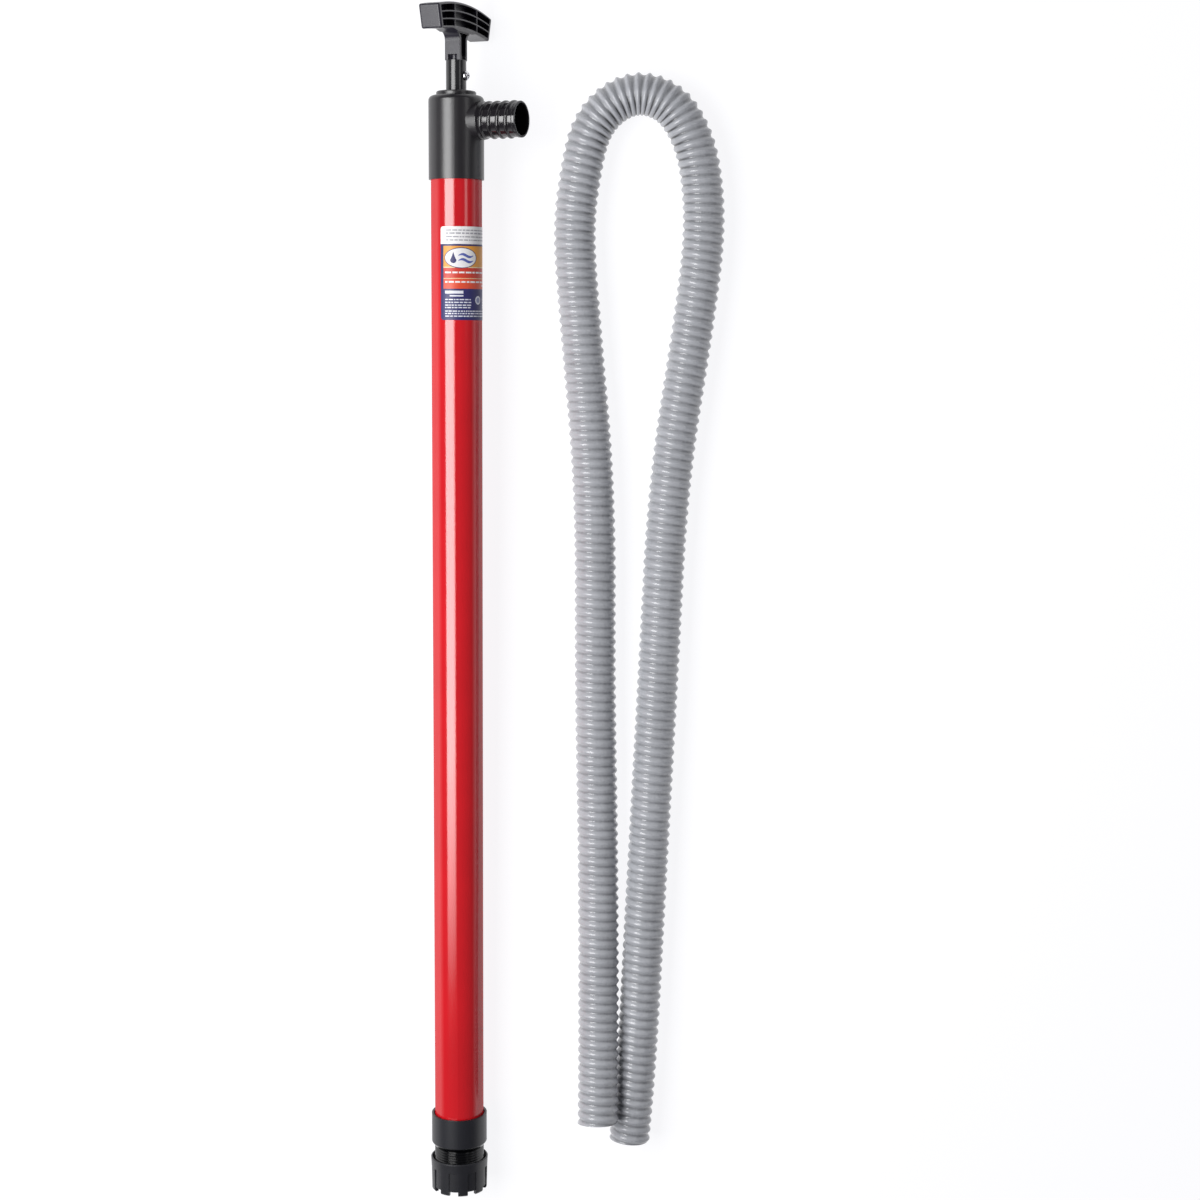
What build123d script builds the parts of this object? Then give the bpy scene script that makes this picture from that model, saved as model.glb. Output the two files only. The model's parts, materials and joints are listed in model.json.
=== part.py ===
"""Auto siphon: a hand pump that starts a siphon, with its strainer foot, barbed outlet and loose hose.

The pump lies on a flat surface, as it would on a bench. It touches the surface with the rim of its
strainer and with one end of its handle, so its axis rises gently from the foot to the handle. The
hose lies loose beside it in one hairpin bend, and one of its ends rests on the other leg.

Row frame: millimetres, +Z up, origin on the surface under the middle of the pump. The pump runs
along X with its handle towards -X, and its outlet leans towards +Y.

Places on the pump are given as a station, the distance along its axis from the strainer's foot
towards the handle, and as an angle about that axis, from straight up towards the outlet's side.
"""

from build123d import *
import os
from math import cos, degrees, radians, sin, sqrt, tan

# How the pump lies
FOOT_X = 490.72
AXIS_Y = -16.59
LAY_SLOPE = 1.424

# Barrel
BARREL_RADIUS = 20.5
BORE_RADIUS = 18.8
BARREL_FOOT = 43.2
BARREL_TOP = 872.0

# Label wrapped round the barrel
LABEL_THICKNESS = 0.2
LABEL_FOOT = 733.6
LABEL_HEIGHT = 74.0
LABEL_START = -34.0
LABEL_SPAN = 215.0

# Outlet head
HEAD_RADIUS = 22.25
HEAD_FOOT = 845.0
HEAD_TOP = 911.0
HEAD_SHOULDER = 4.0
GASKET_THICKNESS = 1.5
CAVITY_TOP = 905.5

# Outlet spout, measured out from the pump's axis
SPOUT_STATION = 891.0
SPOUT_ANGLE = 66.0
SPOUT_REACH = 58.3
SPOUT_BORE = 12.8
SPOUT_BORE_FOOT = 23.5
SPOUT_PORT = 11.4
SPOUT_ROOT = 15.3
SPOUT_ROOT_END = 24.6
RIDGE_CREST = 14.95
RIDGE_VALLEY = 13.8
RIDGE_SECTION = 1.75
RIDGE_START = 22.78
RIDGE_PITCH = 7.42
RIDGE_TURNS = 4.25
LIP_RADIUS = 14.3
LIP_LENGTH = 2.0

# Gland that guides and seals the rod
GLAND_FLANGE_RADIUS = 16.0
GLAND_TOP = 914.4
GLAND_FOOT = 900.5
GLAND_SHANK_RADIUS = 12.0
ROD_CLEARANCE = 0.05
SEAL_SECTION = 1.2
SEAL_STATION = 905.9

# Rod
ROD_RADIUS = 8.2
ROD_BORE = 6.7
ROD_FOOT = 87.0
ROD_TOP = 938.4

# T-handle
HANDLE_ANGLE = -22.0
GRIP_TOP_HALF = 48.6
GRIP_FOOT_HALF = 43.5
GRIP_WIDTH = 17.9
GRIP_HEIGHT = 20.6
GRIP_UNDERSIDE = 961.6
GRIP_REACH = 46.0
GRIP_DROP = 4.0
GRIP_TAPER = 1.2
GRIP_WALL = 1.8
RIB_THICKNESS = 1.0
RIB_COLUMN = 20.0
POCKET_DEPTH = 7.5
END_BLOCK = 3.2
GRIP_ROUNDING = 1.6
PAD_FOOT_HALF = 12.5
PAD_TOP_HALF = 27.0
PAD_HEIGHT = 1.6
STEM_WIDTH = 13.2
STEM_FLARE = 7.0
STEM_GROOVE = 4.2
GROOVE_RADIUS = 3.8
SPIGOT_LENGTH = 32.0
SCREW_STATION = 926.4
SCREW_RADIUS = 2.0
SCREW_HEAD_RADIUS = 3.8
SCREW_HEAD_HEIGHT = 3.1

# Foot adapter, with the male thread that the strainer screws onto
ADAPTER_RADIUS = 23.25
ADAPTER_TOP = 66.4
ADAPTER_FOOT = 16.0
THREAD_RADIUS = 20.8
THREAD_DEPTH = 1.0
THREAD_PITCH = 2.2
THREAD_TURNS = 9
THREAD_TOP = 38.2
COLLAR_FOOT = 41.8

# Valves: a loose disc over a ring of ports, at the foot and on the piston
SEAT_FOOT = 22.0
SEAT_TOP = 26.0
SEAT_RADIUS = 18.0
FOOT_PASSAGE = 16.0
PORT_CIRCLE = 9.5
PORT_COUNT = 6
DISC_RADIUS = 13.5
DISC_THICKNESS = 1.6
DISC_GAP = 0.05
PIN_RADIUS = 2.4
PIN_HEAD_STATION = 31.8
SLIDE_CLEARANCE = 0.08

# Strainer cap and its screen
CAP_RADIUS = 24.1
CAP_GROOVE_RADIUS = 22.8
CAP_TOP = 28.1
CAP_BORE = 21.1
TOOTH_COUNT = 9
TOOTH_SPAN = 20.5
TOOTH_ANGLE = 11.0
TOOTH_HEIGHT = 3.6
TOOTH_RADIUS = 23.3
RIB_TOP = 20.0
SCREEN_RADIUS = 18.7
SCREEN_FOOT = 6.05
SCREEN_THICKNESS = 1.2

# Piston
PISTON_RADIUS = 18.3
PISTON_FOOT = 60.0
PISTON_TOP = 78.0
CUP_RADIUS = 18.75
CUP_BORE = 14.4
CUP_FOOT = 66.0
CUP_TOP = 74.0
PLUG_SHANK = 4.0
PLUG_SHOULDER = 5.0
PLUG_FLANGE_FOOT = 83.4
PLUG_TOP = 112.0
NUT_HEIGHT = 4.5
NUT_ACROSS_FLATS = 13.0

# Hose: its route runs from the end that lies on top, round the bend, to the end that lies below
HOSE_RADIUS = 17.25
HOSE_BORE = 14.3
HOSE_HEIGHT = 17.3
HOSE_ROUTE = [
    (428.7, 101.4, 39),
    (250, 101.4, HOSE_HEIGHT),
    (60, 96.6, HOSE_HEIGHT),
    (-100, 96.4, HOSE_HEIGHT),
    (-240, 83.1, HOSE_HEIGHT),
    (-318, 76.5, HOSE_HEIGHT),
    (-370, 83.6, HOSE_HEIGHT),
    (-400.5, 91.3, HOSE_HEIGHT),
    (-420.6, 109.4, HOSE_HEIGHT),
    (-428, 131.9, HOSE_HEIGHT),
    (-419.9, 154.9, HOSE_HEIGHT),
    (-400.3, 169.9, HOSE_HEIGHT),
    (-370, 180.5, HOSE_HEIGHT),
    (-316, 184.9, HOSE_HEIGHT),
    (-240, 175.9, HOSE_HEIGHT),
    (-110, 156.3, HOSE_HEIGHT),
    (40, 149.9, HOSE_HEIGHT),
    (230, 140.9, HOSE_HEIGHT),
    (395, 133.6, HOSE_HEIGHT),
    (450.5, 128.2, HOSE_HEIGHT),
]

RIM_STATION = CAP_TOP - 0.6
slope = radians(LAY_SLOPE)
ALONG = Vector(-cos(slope), 0, sin(slope))
UP = Vector(sin(slope), 0, cos(slope))
RIGHT = Vector(0, 1, 0)
FOOT = Vector(FOOT_X, AXIS_Y, CAP_RADIUS * cos(slope) - RIM_STATION * sin(slope))
PUMP_AXIS = Axis(FOOT, ALONG)


def radial(angle):
    """The direction at an angle about the pump's axis, from up towards the outlet's side."""
    return UP * cos(radians(angle)) + RIGHT * sin(radians(angle))


def station(distance, angle=0.0):
    """The plane across the pump at a station, with its x direction at an angle about the axis."""
    return Plane(origin=FOOT + ALONG * distance, x_dir=radial(angle), z_dir=ALONG)


def lengthwise(origin, across, along):
    """A plane whose x is a radius and whose y runs along an axis, for outlines that are revolved."""
    return Plane(origin=origin, x_dir=across, z_dir=across.cross(along))


SECTION = lengthwise(FOOT, UP, ALONG)


def turn(outline, plane=SECTION, axis=PUMP_AXIS, mode=Mode.ADD):
    """Revolve a closed outline of (radius, distance) corners about an axis."""
    with BuildSketch(plane) as profile:
        with BuildLine():
            Polyline(*outline, close=True)
        make_face()
    revolve(profile.sketch, axis=axis, mode=mode)


def ring(inner, outer, low, high, mode=Mode.ADD):
    """A plain ring about the pump's axis between two stations."""
    turn([(inner, low), (outer, low), (outer, high), (inner, high)], mode=mode)


def bored_circle(count, circle, radius, low, high):
    """Cut a ring of round ports along the pump's axis."""
    with BuildSketch(station(low)) as ports:
        with PolarLocations(circle, count):
            Circle(radius)
    extrude(ports.sketch, amount=high - low, mode=Mode.SUBTRACT)


def sectors(count, inner, outer, start, span, low, high, mode=Mode.ADD):
    """Equal slices of a ring, evenly spaced round the pump's axis, between two stations."""
    with BuildSketch() as one_slice:
        with BuildLine():
            near = CenterArc((0, 0), inner, 0, span)
            far = CenterArc((0, 0), outer, 0, span)
            Line(near @ 0, far @ 0)
            Line(near @ 1, far @ 1)
        make_face()
    with BuildSketch(station(low, start)) as slices:
        with PolarLocations(0, count):
            add(one_slice.sketch)
    extrude(slices.sketch, amount=high - low, mode=mode)


# ---------------------------------------------------------------- barrel and label

with BuildPart() as barrel_tube:
    ring(BORE_RADIUS, BARREL_RADIUS, BARREL_FOOT, BARREL_TOP)

with BuildPart() as product_label:
    label_outside = BARREL_RADIUS + LABEL_THICKNESS
    label_end = LABEL_FOOT + LABEL_HEIGHT
    sectors(1, BARREL_RADIUS, label_outside, LABEL_START, LABEL_SPAN, LABEL_FOOT, label_end)

# ---------------------------------------------------------------- outlet head

spout_centre = FOOT + ALONG * SPOUT_STATION
SPOUT_OUT = radial(SPOUT_ANGLE)
SPOUT_AXIS = Axis(spout_centre, SPOUT_OUT)
SPOUT_SECTION = lengthwise(spout_centre, ALONG, SPOUT_OUT)
SPOUT_BASE = 10.0
LIP_CHAMFER = 0.3

with BuildPart() as outlet_head:
    with BuildSketch(SECTION):
        with BuildLine():
            rim = HEAD_RADIUS - HEAD_SHOULDER
            sling = HEAD_SHOULDER * sin(radians(45))
            Polyline((HEAD_RADIUS, HEAD_TOP - HEAD_SHOULDER), (HEAD_RADIUS, HEAD_FOOT), (0, HEAD_FOOT),
                     (0, HEAD_TOP), (rim, HEAD_TOP))
            ThreePointArc((rim, HEAD_TOP), (rim + sling, HEAD_TOP - HEAD_SHOULDER + sling),
                          (HEAD_RADIUS, HEAD_TOP - HEAD_SHOULDER))
        make_face()
    revolve(axis=PUMP_AXIS)
    with BuildSketch(SPOUT_SECTION):
        with BuildLine():
            lip_end = SPOUT_REACH - LIP_CHAMFER
            lip_start = lip_end - LIP_LENGTH
            Polyline((0, SPOUT_BASE), (SPOUT_ROOT, SPOUT_BASE), (SPOUT_ROOT, SPOUT_ROOT_END),
                     (RIDGE_VALLEY, SPOUT_ROOT_END + 1.8), (RIDGE_VALLEY, lip_start - 0.8),
                     (LIP_RADIUS, lip_start), (LIP_RADIUS, lip_end), (LIP_RADIUS - LIP_CHAMFER, SPOUT_REACH),
                     (0, SPOUT_REACH), (0, SPOUT_BASE))
        make_face()
    revolve(axis=SPOUT_AXIS)
    ridge_start = Plane(origin=spout_centre + SPOUT_OUT * RIDGE_START, x_dir=ALONG, z_dir=SPOUT_OUT)
    ridge_path = ridge_start * Helix(pitch=RIDGE_PITCH, height=RIDGE_PITCH * RIDGE_TURNS,
                                     radius=RIDGE_CREST - RIDGE_SECTION, lefthand=True)
    with BuildSketch(Plane(origin=ridge_path @ 0, x_dir=ALONG, z_dir=ridge_path % 0)) as ridge:
        Circle(RIDGE_SECTION)
    sweep(ridge.sketch, path=ridge_path, is_frenet=True)
    ring(0, BARREL_RADIUS, HEAD_FOOT, BARREL_TOP + GASKET_THICKNESS, mode=Mode.SUBTRACT)
    ring(0, BORE_RADIUS, BARREL_TOP, CAVITY_TOP, mode=Mode.SUBTRACT)
    ring(0, GLAND_SHANK_RADIUS, CAVITY_TOP, HEAD_TOP, mode=Mode.SUBTRACT)
    with BuildSketch(Plane(origin=spout_centre, z_dir=SPOUT_OUT)):
        Circle(SPOUT_PORT)
    extrude(amount=SPOUT_REACH, mode=Mode.SUBTRACT)
    with BuildSketch(Plane(origin=spout_centre + SPOUT_OUT * SPOUT_BORE_FOOT, z_dir=SPOUT_OUT)):
        Circle(SPOUT_BORE)
    extrude(amount=SPOUT_REACH - SPOUT_BORE_FOOT, mode=Mode.SUBTRACT)

with BuildPart() as head_gasket:
    ring(BORE_RADIUS, BARREL_RADIUS, BARREL_TOP, BARREL_TOP + GASKET_THICKNESS)

with BuildPart() as gland_cap:
    guide = ROD_RADIUS + ROD_CLEARANCE
    turn([(guide, GLAND_FOOT), (GLAND_SHANK_RADIUS, GLAND_FOOT), (GLAND_SHANK_RADIUS, HEAD_TOP),
          (GLAND_FLANGE_RADIUS, HEAD_TOP), (GLAND_FLANGE_RADIUS, GLAND_TOP - 0.8),
          (GLAND_FLANGE_RADIUS - 0.8, GLAND_TOP), (guide + 0.8, GLAND_TOP), (guide, GLAND_TOP - 0.8)])
    groove = SEAL_SECTION + 0.1
    ring(guide - 0.1, guide + 2 * groove, SEAL_STATION - groove, SEAL_STATION + groove,
         mode=Mode.SUBTRACT)

with BuildPart() as rod_seal:
    with BuildSketch(SECTION):
        with Locations((ROD_RADIUS + ROD_CLEARANCE + SEAL_SECTION, SEAL_STATION)):
            Circle(SEAL_SECTION)
    revolve(axis=PUMP_AXIS)

# ---------------------------------------------------------------- foot adapter and foot valve

with BuildPart() as foot_adapter:
    thread_foot = THREAD_TOP - THREAD_PITCH * THREAD_TURNS
    thread = []
    for n in range(THREAD_TURNS):
        crest = thread_foot + THREAD_PITCH * n
        thread += [(THREAD_RADIUS, crest), (THREAD_RADIUS - THREAD_DEPTH, crest + THREAD_PITCH / 2)]
    turn([(SEAT_RADIUS, ADAPTER_FOOT), (THREAD_RADIUS - THREAD_DEPTH, ADAPTER_FOOT)] + thread
         + [(THREAD_RADIUS, THREAD_TOP), (ADAPTER_RADIUS, COLLAR_FOOT), (ADAPTER_RADIUS, ADAPTER_TOP),
            (BARREL_RADIUS + 1.1, ADAPTER_TOP), (BARREL_RADIUS, ADAPTER_TOP - 1.6),
            (BARREL_RADIUS, BARREL_FOOT), (FOOT_PASSAGE, BARREL_FOOT), (FOOT_PASSAGE, SEAT_TOP),
            (SEAT_RADIUS, SEAT_TOP)])

with BuildPart() as foot_valve_seat:
    ring(PIN_RADIUS, SEAT_RADIUS, SEAT_FOOT, SEAT_TOP)
    bored_circle(PORT_COUNT, PORT_CIRCLE, 3.0, SEAT_FOOT, SEAT_TOP)

with BuildPart() as foot_valve_pin:
    turn([(0, SEAT_FOOT - 1.5), (4, SEAT_FOOT - 1.5), (4, SEAT_FOOT), (PIN_RADIUS, SEAT_FOOT),
          (PIN_RADIUS, PIN_HEAD_STATION), (4.5, PIN_HEAD_STATION), (4.5, PIN_HEAD_STATION + 1),
          (3.5, PIN_HEAD_STATION + 1.7), (0, PIN_HEAD_STATION + 1.7)])

with BuildPart() as foot_valve_disc:
    disc_foot = SEAT_TOP + DISC_GAP
    ring(PIN_RADIUS + SLIDE_CLEARANCE, DISC_RADIUS, disc_foot, disc_foot + DISC_THICKNESS)

# ---------------------------------------------------------------- strainer

with BuildPart() as strainer_cap:
    turn([(15, TOOTH_HEIGHT), (20, TOOTH_HEIGHT), (20, 0), (TOOTH_RADIUS - 0.8, 0), (TOOTH_RADIUS, 1),
          (CAP_RADIUS - 0.4, RIB_TOP), (CAP_RADIUS, CAP_TOP - 0.6), (CAP_RADIUS - 0.5, CAP_TOP),
          (CAP_RADIUS - 1.1, CAP_TOP), (CAP_BORE, CAP_TOP - 3.4), (CAP_BORE, 8.2), (18.2, 8.2), (18.2, 7.5),
          (19, 7.5), (19, 6), (15, 6)])
    gap_start = TOOTH_ANGLE + TOOTH_SPAN / 2
    gap_span = 360 / TOOTH_COUNT - TOOTH_SPAN
    beyond = CAP_RADIUS + 1
    sectors(TOOTH_COUNT, CAP_GROOVE_RADIUS, beyond, gap_start, gap_span, 0, RIB_TOP, mode=Mode.SUBTRACT)
    sectors(TOOTH_COUNT, 17, beyond, gap_start, gap_span, 0, TOOTH_HEIGHT, mode=Mode.SUBTRACT)
    with BuildSketch(station(TOOTH_HEIGHT)):
        with PolarLocations(0, 3):
            Rectangle(31, 2.4)
    extrude(amount=6 - TOOTH_HEIGHT)

with BuildPart() as intake_screen:
    ring(0, SCREEN_RADIUS, SCREEN_FOOT, SCREEN_FOOT + SCREEN_THICKNESS)
    for holes, circle in ((1, 0), (6, 4.2), (12, 8.4), (18, 12.6), (24, 16.4)):
        bored_circle(holes, circle, 1.35, SCREEN_FOOT, SCREEN_FOOT + SCREEN_THICKNESS)

# ---------------------------------------------------------------- piston

with BuildPart() as piston_cup:
    turn([(CUP_BORE, CUP_FOOT), (CUP_RADIUS, CUP_FOOT), (CUP_RADIUS, CUP_TOP), (17.5, CUP_TOP),
          (17, CUP_FOOT + 3), (16.2, CUP_FOOT + 3), (15.7, CUP_TOP), (CUP_BORE, CUP_TOP)])

with BuildPart() as piston_head:
    ring(PLUG_SHANK, PISTON_RADIUS, PISTON_FOOT, PISTON_TOP)
    ring(CUP_BORE - 0.1, PISTON_RADIUS, CUP_FOOT - 0.15, CUP_TOP + 0.15, mode=Mode.SUBTRACT)
    bored_circle(PORT_COUNT, PORT_CIRCLE, 2.75, PISTON_FOOT, PISTON_TOP)

with BuildPart() as piston_nut:
    with BuildSketch(station(PISTON_FOOT - NUT_HEIGHT)):
        RegularPolygon(NUT_ACROSS_FLATS / 2, 6, major_radius=False)
        Circle(PLUG_SHANK, mode=Mode.SUBTRACT)
    extrude(amount=NUT_HEIGHT)

with BuildPart() as rod_end_plug:
    shank_foot = PISTON_FOOT - NUT_HEIGHT - 1
    turn([(0, shank_foot), (PLUG_SHANK - 0.5, shank_foot), (PLUG_SHANK, shank_foot + 0.5),
          (PLUG_SHANK, PISTON_TOP), (PLUG_SHOULDER, PISTON_TOP), (PLUG_SHOULDER, PLUG_FLANGE_FOOT),
          (ROD_RADIUS, PLUG_FLANGE_FOOT), (ROD_RADIUS, ROD_FOOT), (ROD_BORE, ROD_FOOT),
          (ROD_BORE, PLUG_TOP), (0, PLUG_TOP)])

with BuildPart() as piston_valve_disc:
    disc_foot = PISTON_TOP + DISC_GAP
    ring(PLUG_SHOULDER + SLIDE_CLEARANCE, DISC_RADIUS, disc_foot, disc_foot + DISC_THICKNESS)

# ---------------------------------------------------------------- rod and handle

GRIP_DIR = radial(HANDLE_ANGLE)
FACE_DIR = radial(HANDLE_ANGLE + 90)
screw_centre = FOOT + ALONG * SCREW_STATION
SCREW_AXIS = Axis(screw_centre, FACE_DIR)
SCREW_SECTION = lengthwise(screw_centre, ALONG, FACE_DIR)
SCREW_PLANE = Plane(origin=screw_centre, x_dir=ALONG, z_dir=FACE_DIR)

with BuildPart() as piston_rod:
    ring(ROD_BORE, ROD_RADIUS, ROD_FOOT, ROD_TOP)
    with BuildSketch(SCREW_PLANE):
        Circle(SCREW_RADIUS + ROD_CLEARANCE)
    extrude(amount=ROD_RADIUS, mode=Mode.SUBTRACT)

GRIP_PLANE = Plane(origin=FOOT + ALONG * GRIP_UNDERSIDE, x_dir=GRIP_DIR, z_dir=-FACE_DIR)


def arch(x, share):
    """A point of the grip's arch, at a distance from its middle and a share of its height."""
    return (x, share * GRIP_HEIGHT - (GRIP_DROP + share * GRIP_TAPER) * (x / GRIP_REACH) ** 2)


def slant_end(share, inset=0.0):
    """Half of the grip's length at a share of its height, less an inset."""
    return GRIP_FOOT_HALF + share * (GRIP_TOP_HALF - GRIP_FOOT_HALF) - inset


def arched_band(low, high, foot_left, foot_right, top_left, top_right):
    """A sketch face between two arches, given as shares of the height, and two straight ends."""
    with BuildLine() as band:
        ThreePointArc(arch(foot_left, low), arch((foot_left + foot_right) / 2, low), arch(foot_right, low))
        Line(arch(foot_right, low), arch(top_right, high))
        ThreePointArc(arch(top_right, high), arch((top_left + top_right) / 2, high), arch(top_left, high))
        Line(arch(top_left, high), arch(foot_left, low))
    make_face(band.edges())


def flared_stem(half_width, foot, straight_end, flare, top):
    """A sketch face of the stem: straight sides that curve outwards into the grip."""
    sling = flare * (1 - cos(radians(45)))
    with BuildLine() as stem:
        for side in (1, -1):
            Line((side * half_width, foot), (side * half_width, straight_end))
            ThreePointArc((side * half_width, straight_end),
                          (side * (half_width + sling), straight_end + flare * sin(radians(45))),
                          (side * (half_width + flare), straight_end + flare))
            Line((side * (half_width + flare), straight_end + flare), (side * (half_width + flare), top))
        Line((half_width + flare, top), (-half_width - flare, top))
        Line((half_width, foot), (-half_width, foot))
    make_face(stem.edges())


with BuildPart() as handle:
    with BuildSketch(GRIP_PLANE):
        arched_band(0, 1, -slant_end(0), slant_end(0), -slant_end(1), slant_end(1))
    extrude(amount=GRIP_WIDTH / 2, both=True)
    fillet(handle.edges(), radius=GRIP_ROUNDING)
    pad_foot = -PAD_HEIGHT / GRIP_HEIGHT
    with BuildSketch(GRIP_PLANE):
        arched_band(pad_foot, 0.1, -PAD_FOOT_HALF, PAD_FOOT_HALF, -PAD_TOP_HALF, PAD_TOP_HALF)
    extrude(amount=GRIP_WIDTH / 2 - 0.8, both=True)
    stem_foot = ROD_TOP - GRIP_UNDERSIDE
    flare_foot = -STEM_FLARE - PAD_HEIGHT
    with BuildSketch(GRIP_PLANE):
        flared_stem(STEM_WIDTH / 2, stem_foot, flare_foot, STEM_FLARE, 1)
    extrude(amount=STEM_WIDTH / 2, both=True)
    wall = GRIP_WALL / GRIP_HEIGHT
    rib = RIB_THICKNESS / GRIP_HEIGHT
    row_share = (1 - 2 * wall - 2 * rib) / 3
    near = RIB_COLUMN - RIB_THICKNESS / 2
    far = RIB_COLUMN + RIB_THICKNESS / 2
    panel_width = STEM_WIDTH / 2 - 2.4
    panel_foot = stem_foot + STEM_GROOVE - 0.3
    for side in (1, -1):
        with BuildSketch(GRIP_PLANE.offset(side * GRIP_WIDTH / 2)):
            for row in range(3):
                low = wall + row * (row_share + rib)
                high = low + row_share
                low_end = slant_end(low, END_BLOCK)
                high_end = slant_end(high, END_BLOCK)
                arched_band(low, high, -near, near, -near, near)
                arched_band(low, high, far, low_end, far, high_end)
                arched_band(low, high, -low_end, -far, -high_end, -far)
        extrude(amount=-side * POCKET_DEPTH, mode=Mode.SUBTRACT)
        with BuildSketch(GRIP_PLANE.offset(side * STEM_WIDTH / 2)):
            flared_stem(panel_width, panel_foot, flare_foot + 1, STEM_FLARE - 2, -PAD_HEIGHT - 0.8)
        extrude(amount=-side * 3.5, mode=Mode.SUBTRACT)
        with BuildSketch(station(ROD_TOP + 0.2, HANDLE_ANGLE)):
            with Locations((side * STEM_WIDTH / 2, 0), (0, side * STEM_WIDTH / 2)):
                Circle(GROOVE_RADIUS)
        extrude(amount=STEM_GROOVE, mode=Mode.SUBTRACT)
    with BuildSketch(station(ROD_TOP - SPIGOT_LENGTH)):
        Circle(ROD_BORE)
    extrude(amount=SPIGOT_LENGTH + 0.5)
    with BuildSketch(SCREW_PLANE.offset(-4.8)):
        Circle(SCREW_RADIUS)
    extrude(amount=4.8 + ROD_RADIUS, mode=Mode.SUBTRACT)

with BuildPart() as handle_screw:
    with BuildSketch(SCREW_SECTION):
        with BuildLine():
            head_base = ROD_RADIUS
            head_edge = head_base + SCREW_HEAD_HEIGHT * 0.35
            head_top = head_base + SCREW_HEAD_HEIGHT
            Polyline((0, head_top), (0, -4.5), (SCREW_RADIUS, -2.2), (SCREW_RADIUS, head_base),
                     (SCREW_HEAD_RADIUS, head_base), (SCREW_HEAD_RADIUS, head_edge))
            ThreePointArc((SCREW_HEAD_RADIUS, head_edge), (2.4, head_base + SCREW_HEAD_HEIGHT * 0.84),
                          (0, head_top))
        make_face()
    revolve(axis=SCREW_AXIS)
    with BuildSketch(SCREW_PLANE.offset(ROD_RADIUS + SCREW_HEAD_HEIGHT - 1.6)):
        with PolarLocations(0, 2, angular_range=180):
            Rectangle(4.2, 0.9)
    extrude(amount=2, mode=Mode.SUBTRACT)

# ---------------------------------------------------------------- hose

hose_points = [Vector(*point) for point in HOSE_ROUTE]
hose_runs = [b - a for a, b in zip(hose_points, hose_points[1:])]
hose_radii = []
for before, after in zip(hose_runs, hose_runs[1:]):
    shorter = min(before.length, after.length)
    hose_radii.append(0.45 * shorter / tan(radians(before.get_angle(after)) / 2))

with BuildPart() as hose:
    with BuildLine():
        hose_path = FilletPolyline(*hose_points, radius=hose_radii)
    with BuildSketch(Plane(origin=hose_path @ 0, z_dir=hose_path % 0)):
        Circle(HOSE_RADIUS)
        Circle(HOSE_BORE, mode=Mode.SUBTRACT)
    sweep()

section_area = 3.14159 * (HOSE_RADIUS**2 - HOSE_BORE**2)
print("hose radii", [round(radius) for radius in hose_radii])
print("hose length", round(hose_path.length, 1))
print("hose volume against section times length",
      round(hose.part.volume / (section_area * hose_path.length), 4))

# ---------------------------------------------------------------- one file for each piece

barrel_tube.part.label = "barrel_tube"
product_label.part.label = "product_label"
outlet_head.part.label = "outlet_head"
head_gasket.part.label = "head_gasket"
gland_cap.part.label = "gland_cap"
rod_seal.part.label = "rod_seal"
foot_adapter.part.label = "foot_adapter"
foot_valve_seat.part.label = "foot_valve_seat"
foot_valve_pin.part.label = "foot_valve_pin"
foot_valve_disc.part.label = "foot_valve_disc"
strainer_cap.part.label = "strainer_cap"
intake_screen.part.label = "intake_screen"
piston_cup.part.label = "piston_cup"
piston_head.part.label = "piston_head"
piston_nut.part.label = "piston_nut"
rod_end_plug.part.label = "rod_end_plug"
piston_valve_disc.part.label = "piston_valve_disc"
piston_rod.part.label = "piston_rod"
handle.part.label = "handle"
handle_screw.part.label = "handle_screw"
hose.part.label = "hose"

os.makedirs("parts", exist_ok=True)
export_step(barrel_tube.part, "parts/barrel_tube.step")
export_step(product_label.part, "parts/product_label.step")
export_step(outlet_head.part, "parts/outlet_head.step")
export_step(head_gasket.part, "parts/head_gasket.step")
export_step(gland_cap.part, "parts/gland_cap.step")
export_step(rod_seal.part, "parts/rod_seal.step")
export_step(foot_adapter.part, "parts/foot_adapter.step")
export_step(foot_valve_seat.part, "parts/foot_valve_seat.step")
export_step(foot_valve_pin.part, "parts/foot_valve_pin.step")
export_step(foot_valve_disc.part, "parts/foot_valve_disc.step")
export_step(strainer_cap.part, "parts/strainer_cap.step")
export_step(intake_screen.part, "parts/intake_screen.step")
export_step(piston_cup.part, "parts/piston_cup.step")
export_step(piston_head.part, "parts/piston_head.step")
export_step(piston_nut.part, "parts/piston_nut.step")
export_step(rod_end_plug.part, "parts/rod_end_plug.step")
export_step(piston_valve_disc.part, "parts/piston_valve_disc.step")
export_step(piston_rod.part, "parts/piston_rod.step")
export_step(handle.part, "parts/handle.step")
export_step(handle_screw.part, "parts/handle_screw.step")
export_step(hose.part, "parts/hose.step")
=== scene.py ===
"""Looks of the auto siphon: its materials, label and ribbed hose, with the floor, lights and camera."""

import json
import math
import random

import bmesh
import bpy
import numpy as np
from mathutils import Matrix, Vector


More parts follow.
